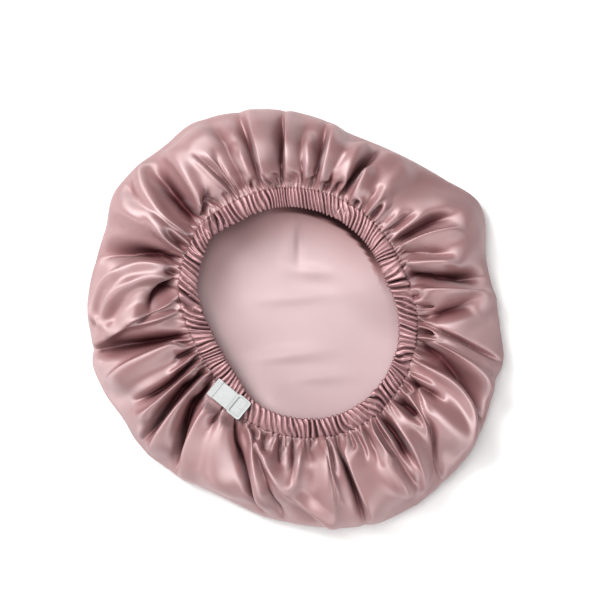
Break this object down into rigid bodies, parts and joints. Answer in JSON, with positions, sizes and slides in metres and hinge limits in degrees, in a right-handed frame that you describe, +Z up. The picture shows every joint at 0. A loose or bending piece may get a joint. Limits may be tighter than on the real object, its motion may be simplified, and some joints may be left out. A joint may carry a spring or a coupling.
{
  "type": "satin sleep bonnet",
  "caption": "Gathered double-layer satin sleep bonnet lying crown down, with a ruched elastic band round its opening and an adjusting strap with a slider.",
  "frame": {"origin": "under the middle of the bonnet's outline, on the surface it lies on", "axes": "+Z up out of the opening; +X to the right and +Y to the top of the picture, which looks straight down"},
  "size_m": [0.3218, 0.3245, 0.0592],
  "materials": {
    "rose_satin": "satin, dusty rose",
    "pale_satin": "soft satin, pale rose",
    "white_elastic": "woven elastic, white",
    "white_plastic": "smooth, white"
  },
  "bodies": {
    "root": {"crown": "rose_satin", "band": "rose_satin", "lining": "pale_satin", "strap": "white_elastic", "slider": "white_plastic"}
  },
  "joints": []
}
